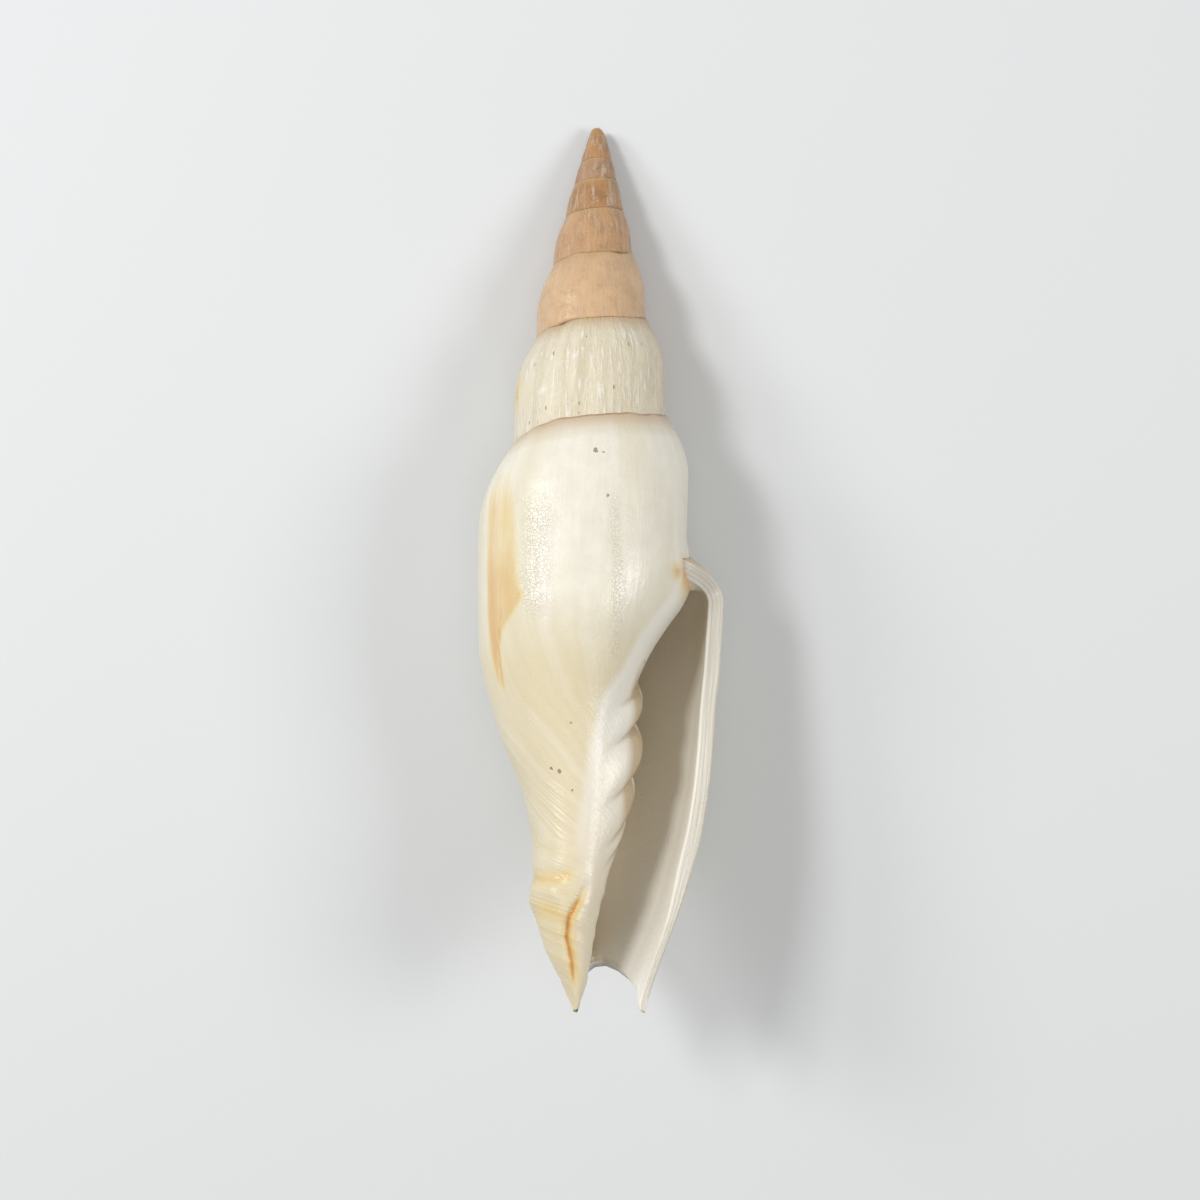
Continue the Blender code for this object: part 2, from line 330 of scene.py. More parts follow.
def side_radius(turn, depth):
    """Radius of a whorl's side below its shoulder. Before the last turn it is the pillar's, grown
    smaller."""
    earlier = np.minimum(turn + 1.0, 0.0)
    scaled = (depth + POLE_ABOVE_TIP) / DEPTH_GROWTH**earlier - POLE_ABOVE_TIP
    depths = [row[0] for row in SECTIONS]
    around = [spline(depths, [row[1][i] for row in SECTIONS], scaled) for i in range(len(STATIONS))]
    return spline(STATIONS, np.array(around), turn) * RADIUS_GROWTH**earlier


def plain_radius(turn, depth):
    base = suture_radius(turn)
    near_lip = rising(turn, -LIP_SHOULDER_TURNS, 0.0)
    shoulder = SHOULDER_DEPTH * DEPTH_GROWTH**turn * (1 - (1 - LIP_SHOULDER_SHARE) * near_lip)
    shoulder *= 1 + SPIRE_SHOULDER * (1 - rising(turn, *SPIRE_SHOULDER_TURNS))
    below = depth - suture_depth(turn)
    swell = 1 - (1 - np.clip(below / shoulder, 0.0, 1.0)) ** 2
    straight = np.clip(below / (suture_depth(turn + 1) - suture_depth(turn)), 0.0, 1.0)
    worn = WEAR * (1 - rising(turn, *WEAR_TURNS))
    return base + (side_radius(turn, depth) - base) * (swell + (straight - swell) * worn)


def grown_fold(depth, turn):
    """Depth at a turn of what lies at the given depth at the mouth."""
    return (depth + POLE_ABOVE_TIP) * FOLD_GROWTH ** (turn + 1) - POLE_ABOVE_TIP


def fold_height(turn, depth):
    height = np.zeros(len(turn))
    for start, end, stands_out in FOLDS:
        top = grown_fold(start, turn)
        foot = grown_fold(end, turn)
        share = np.clip((depth - top) / (foot - top), 0.0, 1.0)
        height += stands_out * (4 * share * (1 - share)) ** 0.7
    return height * (1 - rising(turn, *FOLD_FADE))


def bump(value, middle, half_width):
    """A cosine bump, from 0 at its edges to 1 in its middle."""
    return 0.5 + 0.5 * np.cos(math.pi * np.clip((value - middle) / half_width, -1.0, 1.0))


def foot_height(turn, depth, radius):
    """The fasciole with its groove, and the chink beside it with a lobe on either side."""
    track = rising(turn, *FASCIOLE_START) * (1 - rising(turn, *FASCIOLE_END))
    height = FASCIOLE_HEIGHT * bump(depth, look_up(FASCIOLE, turn, 1), FASCIOLE_HALF_WIDTH) * track
    height -= GROOVE_SINK * bump(depth, look_up(FASCIOLE, turn, 2), GROOVE_HALF_WIDTH) * track
    aside = (turn - look_up(CHINK, depth, 1)) * 2 * math.pi * radius
    sink = look_up(CHINK, depth, 2)
    for lobe_height, to_left, half_width in CHINK_LOBES:
        height += lobe_height * sink * np.exp(-(((aside - to_left) / half_width) ** 2))
    return height - sink * np.exp(-((aside / CHINK_HALF_WIDTH) ** 2))


def suture_step(turn, depth):
    """The edge of a whorl stands a little proud of the one before, and its very rim is buried in it."""
    growth = RADIUS_GROWTH**turn
    below = (depth - suture_depth(turn)) / growth
    proud = SUTURE_STEP * (1 - rising(below, *SUTURE_STEP_FADE))
    buried = (SUTURE_BURIED + SUTURE_STEP) * (1 - rounded(below / SUTURE_ROUND))
    return growth * smooth((turn + TURNS) / TIP_TURNS) * (proud - buried)


def outside_radius(turn, depth):
    last = turn > -1.0
    shown = last | (depth < suture_depth(turn + 1))
    radius = plain_radius(turn, depth)
    behind = rising(-(turn + 1), CORE_START, CORE_END) * (1 - rising(depth, *CORE_FOOT))
    core = CORE_RADIUS * behind * RADIUS_GROWTH ** (turn + 1)
    radius = np.where(shown, radius, np.maximum(radius, core))
    radius += np.where(turn > FOLDS_SINCE, fold_height(turn, depth), 0.0)
    radius += np.where(last, foot_height(turn, depth, radius), 0.0)
    from_edge = (look_up(GLAZE_EDGE, depth) - turn) * 2 * math.pi * radius
    radius += np.where(last, GLAZE * smooth(from_edge / GLAZE_BEVEL), 0.0)
    radius += suture_step(turn, depth)
    to_point = (1 - rounded((LENGTH + POINT_OPEN - depth) / POINT_LENGTH)) * (1 - rising(turn, *POINT_TURNS))
    radius *= np.where(last, 1 - to_point, 1.0)
    over = plain_radius(np.minimum(turn + 1, 0.0), depth) - LEAST_GAP
    return np.maximum(np.where(shown, radius, np.minimum(radius, np.maximum(over, 0.05))), 0.0)


# Turns of growth that the sheet has a column at, and its rows: down the part of a whorl that
# stays in sight, then down the rest, closest together over the folds
SPIRE_TURNS = np.concatenate(
    [np.linspace(-9, -5, 161)[:-1], np.linspace(-5, -3, 113)[:-1], np.linspace(-3, -2, 73)]
)
LAST_TURNS = np.concatenate(
    [np.linspace(-2, -1.3, 19)[:-1], np.linspace(-1.3, -1, 25)[:-1], np.linspace(-1, 0, 161)]
)
RIM_COLUMNS = 20
TOP_ROWS = 30
TOP_CROWDING = 1.6
LOW_BREAKS = (0.0, 0.264, 0.644, 1.0)
LOW_ROWS = (20, 58, 44)

top_shares = np.linspace(0, 1, TOP_ROWS + 1) ** TOP_CROWDING
low_parts = zip(LOW_BREAKS, LOW_BREAKS[1:], LOW_ROWS)
low_shares = np.concatenate([np.linspace(start, end, rows + 1)[1:] for start, end, rows in low_parts])
outer_turns = np.concatenate([SPIRE_TURNS, LAST_TURNS[1:]])
column_turn = np.concatenate([outer_turns, np.zeros(RIM_COLUMNS - 1), outer_turns[::-1]])
outer_count = len(outer_turns)
through_rim = np.arange(1, RIM_COLUMNS) / RIM_COLUMNS
column_through = np.concatenate([np.zeros(outer_count), through_rim, np.ones(outer_count)])
spire_end = len(SPIRE_TURNS) - 1
inner_start = len(column_turn) - len(SPIRE_TURNS)

# The sheet is laid out flat first, one unit to a column or a row: the outside of the spire, the
# last two turns with the rim folded over to the inside, and the inside of the spire
sheet = bmesh.new()
for start, end, rows in (
    (0, spire_end, TOP_ROWS),
    (spire_end, inner_start, TOP_ROWS + len(low_shares)),
    (inner_start, len(column_turn) - 1, TOP_ROWS),
):
    middle = Vector(((start + end) / 2, rows / 2, 0.0))
    bmesh.ops.create_grid(
        sheet,
        x_segments=end - start,
        y_segments=rows,
        size=0.5,
        matrix=Matrix.Translation(middle) @ Matrix.Diagonal((end - start, rows, 1.0, 1.0)),
    )
bmesh.ops.remove_doubles(sheet, verts=sheet.verts, dist=0.01)

column = np.array([round(vert.co.x) for vert in sheet.verts])
row = np.array([round(vert.co.y) for vert in sheet.verts])
turn = column_turn[column]
through = column_through[column]

# The siphonal notch cuts a column short where it reaches it
probe = np.linspace(100.0, LENGTH, 981)
notch_x = [x for x, _ in NOTCH]
notch_depth = [depth for _, depth in NOTCH]
column_foot = np.full(len(column_turn), LENGTH)
for index, at in enumerate(column_turn):
    if at > -0.5:
        x = plain_radius(np.full(len(probe), at), probe) * math.cos(2 * math.pi * at)
        reach = np.where((x > notch_x[0]) & (x < notch_x[-1]), np.interp(x, notch_x, notch_depth), LENGTH)
        past = np.nonzero(probe >= reach)[0]
        column_foot[index] = probe[past[0]] if len(past) else LENGTH
foot = column_foot[column]

# Depth of each point down its column
suture = suture_depth(turn)
hidden_from = suture_depth(turn + 1) + HIDDEN_OVERLAP * DEPTH_GROWTH ** np.minimum(turn + 1, -1.0)
hidden_from = np.minimum(hidden_from, 0.5 * (suture_depth(turn + 1) + foot))
in_top = row <= TOP_ROWS
top_depth = suture + (hidden_from - suture) * top_shares[np.minimum(row, TOP_ROWS)]
low_depth = hidden_from + (foot - hidden_from) * low_shares[np.clip(row - TOP_ROWS - 1, 0, None)]
depth = np.where(in_top, top_depth, low_depth)

# At its top the lip reaches on over the front of the last whorl
reach = LIP_REACH * (1 - smooth((depth - suture) / LIP_REACH_DEPTH)) * rising(turn, -LIP_REACH_TURNS, 0.0)
turn_at = turn + reach
near_suture = 1 - smooth((depth - suture) / (2 * LIP_REACH_DEPTH))
depth_at = depth + (suture_depth(turn_at) - suture) * near_suture

# Outside, with how far the mouth's edge has travelled to each point, in millimetres
radius = outside_radius(turn_at, depth_at)
travel = RADIUS_GROWTH**turn_at / math.log(RADIUS_GROWTH) + look_up(LINE_BEND, depth_at)
line = PATH_RADIUS * 2 * math.pi * travel


def roughness(first, second, third):
    """Smooth noise at points given by three coordinates."""
    return np.array([noise.noise(Vector(at)) for at in np.stack([first, second, third], axis=1)])


around = 2 * math.pi * turn_at
in_space = (radius * np.cos(around), radius * np.sin(around), depth_at)
uneven = roughness(*(along / UNEVEN_WAVE for along in in_space))
ripple = roughness(line / RIPPLE_WAVE, depth_at / RIPPLE_LENGTH, 0.0 * line)
ripple *= 1 - rising(depth_at, *RIPPLE_END)
wrinkle = roughness(line / WRINKLE_WAVE, depth_at / WRINKLE_LENGTH, 0.0 * line + 7.0)
wrinkle *= rising(depth_at, *WRINKLE_START) * (turn_at > -1) * (1 - rising(turn_at, *WRINKLE_END_TURNS))
size_there = RADIUS_GROWTH ** np.minimum(turn_at, 0.0)
radius += size_there * (UNEVEN * uneven + RIPPLE * ripple) + WRINKLE * wrinkle

# The wall, and its inside square to the outside
plain = plain_radius(turn_at, depth_at)
slope = (plain_radius(turn_at, depth_at + 0.2) - plain_radius(turn_at, depth_at - 0.2)) / 0.4
across = 1 / np.sqrt(1 + slope**2)
growth = DEPTH_GROWTH ** np.minimum(turn_at, 0.0)
from_suture = depth_at - suture_depth(turn_at)
wall = WALL + (LIP_WALL - WALL) * rising(turn_at, -LIP_WALL_TURNS, 0.0)
wall *= 1 - (1 - LIP_FOOT_WALL) * rising(turn_at, -LIP_FOOT_TURNS, 0.0) * rising(depth_at, *LIP_FOOT)
wall = np.minimum(wall * (0.4 + 0.6 * growth), 0.5 * radius)
in_corner = rising(-turn, 0.0, 0.03) * (1 - rising(-turn, 0.14, 0.22)) * (1 - rising(from_suture, 1.0, 4.5))
wall = np.minimum(wall + CORNER_PAD * in_corner, 0.5 * radius)
wall *= rounded(from_suture / (EDGE_ROUND * growth))
spire_foot = rounded((hidden_from - depth) / (EDGE_ROUND * growth))
last_foot = rounded((foot - depth) / FOOT_ROUND)
opens = rising(turn, -2.0, -1.9)
wall *= np.where(turn < -2.0, spire_foot, spire_foot + (last_foot - spire_foot) * opens)
wall *= smooth((turn + TURNS) / 0.2)
into = wall * through
surface = radius + (plain - radius) * np.clip(2 * into, 0.0, 1.0)
depth_in = np.maximum(depth_at + into * slope * across, WORN_TIP)
radius_in = surface - into * across

# The rim stands forward between its two edges, with fine lines along it
bulge = RIM_BULGE * (1 - np.abs(2 * through - 1) ** 3)
bulge += RIM_RIPPLE * roughness(RIM_LINES * through, depth / RIM_LINE_LENGTH, 0.0 * depth)
bulge = np.where((through > 0) & (through < 1), bulge, 0.0) * np.clip(wall / LIP_WALL, 0.0, 1.0)
angle = 2 * math.pi * turn_at + bulge / np.maximum(radius_in, 1.0)

# The sutures wander: a worn whorl moves as a whole, the last whorl only near its upper edge
on_spire = 1 - rising(turn, -1.3, -1.0)
near_edge = LAST_SUTURE_SHARE * (1 - smooth((depth - suture) / 4.0))
near_edge *= rising(turn, -1.0, -0.92) * (1 - rising(turn, -0.25, -0.15))
wander = SUTURE_WANDER * DEPTH_GROWTH ** np.minimum(turn_at + 1, 0.0) * (on_spire + near_edge)
along_suture = RADIUS_GROWTH**turn_at * PATH_LENGTH / SUTURE_WANDER_WAVE
depth_in += wander * roughness(along_suture, 0.0 * turn, 0.0 * turn)
bow = look_up(AXIS_BOW, depth_in)
points = np.stack([radius_in * np.cos(angle) + bow, -depth_in, radius_in * np.sin(angle)], axis=1)
lie_down = np.array(Matrix.Rotation(PITCH, 3, "X"))


def surface_point(turn, depth):
    """Place of one point of the outside."""
    radius = outside_radius(np.array([turn]), np.array([depth]))[0]
    angle = 2 * math.pi * turn
    upright = (radius * math.cos(angle), -depth, radius * math.sin(angle))
    return Vector(lie_down @ upright + np.array(PLACE)) * MM


points = (points @ lie_down.T + np.array(PLACE)) * MM
points[:, 2] = np.maximum(points[:, 2], 0.0)

# What the colours follow: the growth of the shell at each point
below = from_suture / (suture_depth(turn_at + 1) - suture_depth(turn_at))
inside = np.where((turn_at < -1.0) & (depth > hidden_from), 1.0, np.where(wall < THIN_WALL, 0.0, through))
outer_side = inside < 0.5
last_whorl = turn_at > -1.0
from_edge = (look_up(GLAZE_EDGE, depth_at) - turn_at) * 2 * math.pi * plain
glaze = smooth(from_edge / GLAZE_BEVEL + 0.5) * last_whorl

# Stains, from yellow at a half to orange brown at one: in the chink, along the fasciole, a patch on
# the left with a darker streak at its foot, the mouth's upper corner, and a spot on the whorl before
aside = (turn_at - look_up(CHINK, depth_at)) * 2 * math.pi * plain
sink = np.minimum(look_up(CHINK, depth_at, 2) / 0.4, 1.0)
in_chink = np.maximum(0.9 * np.exp(-((aside / 0.5) ** 2)), 0.6 * np.exp(-(((aside + 0.5) / 0.75) ** 2)))
in_chink *= sink
from_crest = depth_at - look_up(FASCIOLE, turn_at, 1)
from_groove = depth_at - look_up(FASCIOLE, turn_at, 2)
on_foot = bump(from_groove, 0.3, 2.0) + 0.9 * bump(from_crest, 2.6, 2.8)
on_foot *= rising(turn_at, -0.78, -0.7) * (1 - rising(turn_at, *FASCIOLE_END))
patch = rising(turn_at - look_up(PATCH_EDGE, depth_at), 0.0, 0.02) * (1 - rising(turn_at, -0.567, -0.553))
patch *= rising(depth_at, 46.5, 55.5) * (1 - rising(depth_at, 77.0, 80.0))
patch *= 1 + 0.15 * bump(turn_at, -0.578, 0.018) + 0.2 * rising(depth_at, 58.0, 66.0)
streak = bump(turn_at, np.interp(depth_at, (68.0, 79.0), (-0.604, -0.573)), 0.012)
streak *= rising(depth_at, 67.0, 69.0) * (1 - rising(depth_at, 78.0, 80.0))
corner_spot = bump(turn_at, -0.912, 0.04) * bump(depth_at, 63.0, 2.4)
corner_side = 1.05 * (1 - rising(turn_at, -0.935, -0.905)) * bump(depth_at, 63.0, 5.0)
older_spot = bump(turn_at, -1.53, 0.065) * bump(depth_at, 38.0, 6.0)
stained = np.maximum.reduce(
    [
        in_chink * last_whorl,
        0.6 * on_foot * last_whorl,
        0.5 * patch,
        0.68 * streak,
        0.7 * np.maximum(corner_spot, corner_side),
        0.6 * older_spot,
    ]
)

# Painted shade on the folds: tan in the creases between them and on their side towards the mouth
crease = (1 - rising(turn_at, -0.925, -0.865)) * rising(turn_at, -0.99, -0.94)
crease *= rising(depth_at, 72.0, 80.0) * (1 - rising(depth_at, 92.0, 100.0))
for start, end, _ in FOLDS:
    for edge in (start, end):
        off_crease = np.abs(depth_at - grown_fold(edge, turn_at))
        crease = np.maximum(crease, 1 - np.clip(off_crease / 0.9, 0.0, 1.0))
crease *= last_whorl * outer_side * (1 - rising(turn_at, *FOLD_FADE))

# Cracked glaze: right of the yellow patch, and in a narrow streak down the middle
cracked_glaze = bump(turn_at, -0.667, 0.05)
cracked_glaze *= rising(depth_at, 52.0, 57.0) * (1 - rising(depth_at, 68.0, 72.0))
narrow = bump(turn_at, np.interp(depth_at, (56.0, 75.0), (-0.785, -0.81)), 0.02)
narrow *= rising(depth_at, 52.0, 56.0) * (1 - rising(depth_at, 74.0, 78.0))
cracked_glaze = np.maximum(cracked_glaze, narrow) * last_whorl * outer_side
follows = {
    "grown": (turn_at + TURNS) / TURNS,
    "line": line,
    "depth": depth_in,
    "below": below,
    "inside": inside,
    "glaze": np.where(outer_side, glaze, 1.0),
    "stained": np.maximum(stained * outer_side, 0.5 * in_corner),
    "crease": crease,
    "cracked": cracked_glaze,
}
layers = {name: sheet.verts.layers.float.new(name) for name in follows}
for index, vert in enumerate(sheet.verts):
    vert.co = points[index]
    for name, layer in layers.items():
        vert[layer] = follows[name][index]
bmesh.ops.remove_doubles(sheet, verts=sheet.verts, dist=0.0000001)
bmesh.ops.recalc_face_normals(sheet, faces=sheet.faces)

shell_mesh = bpy.data.meshes.new("mitre_shell")
sheet.to_mesh(shell_mesh)
sheet.free()
mitre_shell = bpy.data.objects.new("mitre_shell", shell_mesh)
bpy.context.scene.collection.objects.link(mitre_shell)
shell_mesh.shade_smooth()


def linear(hex_colour):
    """Linear colour of an sRGB hex value."""
    channels = [int(hex_colour[i : i + 2], 16) / 255 for i in (1, 3, 5)]
    return [c / 12.92 if c <= 0.04045 else ((c + 0.055) / 1.055) ** 2.4 for c in channels] + [1.0]


# Worn and glossy shell. The colour follows the growth: tan on the old whorls, cream on the last two,
# white where the animal glazed the mouth's edge, stained yellow in patches. Growth threads, pits,
# scratches and a cracked skin break the gloss up. Scales are features to the millimetre: the threads
# are drawn about half a millimetre wide, and wider towards the foot.
porcelain = bpy.data.materials.new("glossy_worn_shell_porcelain")
porcelain.use_nodes = True
tree = porcelain.node_tree
shader = tree.nodes["Principled BSDF"]
PLUS = {"operation": "ADD"}
LESS = {"operation": "SUBTRACT"}
TIMES = {"operation": "MULTIPLY"}
BELOW = {"operation": "LESS_THAN"}
ABOVE = {"operation": "GREATER_THAN"}
BLEND = {"data_type": "RGBA"}


def add(kind, settings, *feeds):
    """A new shader node. A setting is a property, an input by its name, or the stops of a colour ramp.
    The feeds go to the inputs in use, in their order: a socket, a number or a hex colour."""
    node = tree.nodes.new("ShaderNode" + kind)
    for name, value in settings.items():
        if name == "stops":
            elements = node.color_ramp.elements
            while len(elements) < len(value):
                elements.new(1.0)
            for element, (at, tone) in zip(elements, value):
                element.position = at
                element.color = linear(tone) if isinstance(tone, str) else (tone, tone, tone, 1.0)
        elif hasattr(node, name):
            setattr(node, name, value)
        else:
            node.inputs[name].default_value = value
    for socket, feed in zip([socket for socket in node.inputs if socket.enabled], feeds):
        if isinstance(feed, bpy.types.NodeSocket):
            tree.links.new(feed, socket)
        else:
            socket.default_value = linear(feed) if isinstance(feed, str) else feed
    return next(socket for socket in node.outputs if socket.enabled)


grown, line_at, depth_of, below_suture, inwards, glazed, stain, painted_fold_shade_in, cracked = (
    add("Attribute", {"attribute_name": name}).node.outputs["Fac"] for name in follows
)
object_place = add("TexCoord", {}).node.outputs["Object"]
place = add("VectorMath", {"operation": "SCALE", "Scale": 1 / MM}, object_place)
share_down = add("Math", TIMES, depth_of, 1 / LENGTH)

# Noise in the solid, and noise drawn out along the growth lines. Those crowd together towards the
# foot, so it grows coarser there.
broad = add("TexNoise", {"Scale": 0.16, "Detail": 2.0}, place)
blotches = add("TexNoise", {"Scale": 0.5, "Detail": 4.0, "Roughness": 0.6}, place)
skin = add("TexNoise", {"Scale": 1.1, "Detail": 3.0, "Roughness": 0.6, "Distortion": 1.4}, place)
flow = add("CombineXYZ", {}, line_at, add("Math", TIMES, depth_of, 0.12))
at_waist = add("ValToRGB", {"stops": ((0.68, 0.0), (0.75, 1.0))}, share_down)
at_foot = add("ValToRGB", {"stops": ((0.80, 0.0), (0.85, 1.0))}, share_down)
drawn_out = []
for scales in ((0.5, 0.25, 0.1), (2.0, 0.8, 0.2)):
    noises = [add("TexNoise", {"Scale": scale, "Detail": 2.0, "Roughness": 0.6}, flow) for scale in scales]
    to_waist = add("Mix", BLEND, at_waist, noises[0], noises[1])
    drawn_out.append(add("Mix", BLEND, at_foot, to_waist, noises[2]))
streaks, threads = drawn_out
bands = add("TexNoise", {"Scale": 0.11, "Detail": 1.0}, flow)

# How worn the surface is from the tip to the lip, where the last two whorls are, and where the last
WEAR_BY_AGE = (
    (0.0, 0.5),
    (0.29, 0.7),
    (0.31, 1.0),
    (0.52, 0.95),
    (0.56, 0.7),
    (0.66, 0.35),
    (0.775, 0.3),
    (0.79, 0.85),
    (0.885, 0.85),
    (0.895, 0.1),
    (1.0, 0.1),
)
wear = add("ValToRGB", {"stops": WEAR_BY_AGE}, grown)
young = add("ValToRGB", {"stops": ((0.78, 0.0), (0.8, 1.0))}, grown)
last_one = add("ValToRGB", {"stops": ((0.885, 0.0), (0.9, 1.0))}, grown)

# Pits: small dashes over the worn whorls, and single ones with a ragged edge
dashes = add("CombineXYZ", {}, line_at, add("Math", TIMES, depth_of, 0.35))
cells = add("TexVoronoi", {"Scale": 1.3}, dashes)
cell_value = add("SeparateColor", {}, cells.node.outputs["Color"])
dash_size = add("Math", TIMES, add("Math", LESS, cell_value, 0.55), 0.36)
is_dash = add("Math", TIMES, add("Math", BELOW, cells, dash_size), young)
where_worn = add("Math", ABOVE, add("Math", PLUS, wear, blotches), 1.25)
pits = add("Math", TIMES, is_dash, where_worn)
ragged = add("Math", TIMES, add("Math", LESS, skin, 0.5), 0.9)
for pit_turn, pit_depth, across in PITS:
    near = add("VectorMath", {"operation": "DISTANCE"}, place, surface_point(pit_turn, pit_depth) / MM)
    is_pit = add("Math", BELOW, add("Math", PLUS, near, ragged), across / 2)
    pits = add("Math", {"operation": "MAXIMUM"}, pits, is_pit)

# Pale worm-like lines and scratches on the worn whorls, partly real wear and partly painted sparkle
# highlights, and cracks in the glaze
patchy = add("Math", TIMES, wear, add("ValToRGB", {"stops": ((0.42, 0.0), (0.55, 1.0))}, blotches))
winding = add("TexNoise", {"Scale": 0.9, "Detail": 1.0, "Distortion": 3.0}, place)
winding = add("ValToRGB", {"stops": ((0.45, 0.0), (0.5, 1.0), (0.55, 0.0))}, winding)
worm_lines_and_painted_sparkle = add("Math", TIMES, add("Math", TIMES, patchy, winding), add("Math", LESS, 1.0, young))
scratches_and_painted_sparkle = add("Math", TIMES, wear, add("ValToRGB", {"stops": ((0.5, 0.0), (0.62, 1.0))}, threads))
scratches_and_painted_sparkle = add("Math", TIMES, scratches_and_painted_sparkle, add("ValToRGB", {"stops": ((0.4, 0.25), (0.6, 1.0))}, blotches))
scratches_and_painted_sparkle = add("Math", TIMES, scratches_and_painted_sparkle, add("ValToRGB", {"stops": ((0.77, 0.4), (0.79, 1.0))}, grown))
bend = add("TexNoise", {"Scale": 1.2, "Detail": 2.0}, place).node.outputs["Color"]
bent_place = add("VectorMath", PLUS, place, bend)
crack_cells = add("TexVoronoi", {"feature": "DISTANCE_TO_EDGE", "Scale": 2.2}, bent_place)
cracks = add("Math", TIMES, cracked, add("ValToRGB", {"stops": ((0.0, 1.0), (0.1, 0.0))}, crack_cells))

# Colour of the outside
aged = add("Math", PLUS, grown, add("Math", TIMES, add("Math", LESS, broad, 0.5), 0.012))
AGE_COLOURS = (
    (0.0, "#B98A5C"),
    (0.28, "#B98A5C"),
    (0.32, "#AF8A6E"),
    (0.40, "#AF8A6E"),
    (0.43, "#B48352"),
    (0.52, "#B78656"),
    (0.56, "#C1946A"),
    (0.64, "#CBA47E"),
    (0.68, "#D4B18A"),
    (0.775, "#D6B68F"),
    (0.787, "#DED5BC"),
    (0.88, "#E1DAC4"),
    (0.9, "#ECE8DA"),
    (1.0, "#EDE9DE"),
)
colour = add("ValToRGB", {"stops": AGE_COLOURS}, aged)
mottle = add("ValToRGB", {"stops": ((0.34, 0.1), (0.62, 0.9))}, blotches)
MOTTLE_BY_AGE = ((0.0, 1.0), (0.5, 1.0), (0.6, 0.45), (0.77, 0.3), (0.79, 0.1))
mottle = add("Math", TIMES, mottle, add("ValToRGB", {"stops": MOTTLE_BY_AGE}, grown))
colour = add("Mix", BLEND, mottle, colour, "#A0744B")
streaky = add("Math", TIMES, add("Math", LESS, streaks, 0.42), add("Math", PLUS, wear, 0.3))
colour = add("Mix", BLEND, streaky, colour, "#A8906E")
banded = add("Math", TIMES, add("ValToRGB", {"stops": ((0.4, 0.0), (0.6, 0.6))}, bands), last_one)
colour = add("Mix", BLEND, banded, colour, "#DAD0B0")
lower = add("ValToRGB", {"stops": ((0.56, 0.0), (0.64, 0.75), (0.86, 0.8), (0.9, 1.0))}, share_down)
colour = add("Mix", BLEND, add("Math", TIMES, lower, add("Math", PLUS, streaks, 0.3)), colour, "#D9C89F")
glaze_colour = add("ValToRGB", {"stops": ((0.7, "#EAE6DB"), (0.9, "#E0D3BB"))}, share_down)
colour = add("Mix", BLEND, add("Math", TIMES, glazed, 0.85), colour, glaze_colour)
# Pale worm lines and white scratches: partly wear, partly painted sparkle highlights
colour = add("Mix", BLEND, add("Math", TIMES, worm_lines_and_painted_sparkle, 0.5), colour, "#E6D2B2")
colour = add("Mix", BLEND, add("Math", TIMES, scratches_and_painted_sparkle, 0.75), colour, "#F4F0E6")
colour = add("Mix", BLEND, add("Math", TIMES, cracks, 0.14), colour, "#B0A27E")

# Stains, broken up along the growth lines
broken_up = add("Math", LESS, add("Mix", BLEND, 0.3, threads, streaks), 0.5)
broken_up = add("Math", TIMES, broken_up, add("ValToRGB", {"stops": ((0.0, 0.0), (0.3, 0.75))}, stain))
STAIN_COLOURS = ((0.0, "#E6D9B0"), (0.5, "#DEC484"), (0.75, "#CC944C"), (1.0, "#CC8A42"))
how_stained = add("Math", PLUS, stain, broken_up)
how_stained = add("ValToRGB", {"stops": ((0.12, 0.0), (0.6, 0.75), (0.95, 1.0))}, how_stained)
stain_colour = add("ValToRGB", {"stops": STAIN_COLOURS}, stain)
colour = add("Mix", BLEND, how_stained, colour, stain_colour)

# Tan band under each suture with a brown line along it, painted shade on the folds, and the pits
tan_band = add("ValToRGB", {"stops": ((0.0, 0.8), (0.04, 0.65), (0.1, 0.3), (0.18, 0.0))}, below_suture)
colour = add("Mix", BLEND, tan_band, colour, "#BC9C70")
brown_line = add("ValToRGB", {"stops": ((0.01, 0.8), (0.022, 0.0))}, below_suture)
brown_line = add("Math", TIMES, brown_line, add("ValToRGB", {"stops": ((0.35, 0.3), (0.6, 1.0))}, blotches))
colour = add("Mix", BLEND, brown_line, colour, "#8A6444")
# Painted shade in the creases between the folds and on their side towards the mouth
painted_fold_shade_mix = add("ValToRGB", {"stops": ((0.1, 0.0), (0.7, 0.75))}, painted_fold_shade_in)
colour = add("Mix", BLEND, painted_fold_shade_mix, colour, "#B5986A")
colour = add("Mix", BLEND, add("Math", TIMES, pits, 0.7), colour, "#76563B")

# Colour of the rim, with fine lines along it, and of the inside: yellower further in, partly its own colour
# and partly painted warm shade, and painted shade, browner, where it is deep
rimmed = add("ValToRGB", {"stops": ((0.02, 0.0), (0.1, 1.0), (0.9, 1.0), (0.97, 0.0))}, inwards)
along_rim = add("CombineXYZ", {}, add("Math", TIMES, inwards, 14.0), add("Math", TIMES, depth_of, 0.06))
rim_lines = add("TexNoise", {"Scale": 1.0, "Detail": 3.0, "Roughness": 0.6}, along_rim)
rim_colour = add("ValToRGB", {"stops": ((0.32, "#BDB4A2"), (0.55, "#DAD5C9"))}, rim_lines)
colour = add("Mix", BLEND, rimmed, colour, rim_colour)
white_edge = add("ValToRGB", {"stops": ((0.84, 0.0), (0.88, 0.7), (0.94, 0.7), (0.97, 0.0))}, inwards)
colour = add("Mix", BLEND, white_edge, colour, "#F7F4EC")
# Inside: whiter by the lip, yellower further in, partly its own colour and partly painted warm shade
inside_tone_and_painted_shade = add("ValToRGB", {"stops": ((0.86, "#E8D096"), (0.965, "#ECD9AE"), (0.99, "#F3EFE5"))}, grown)
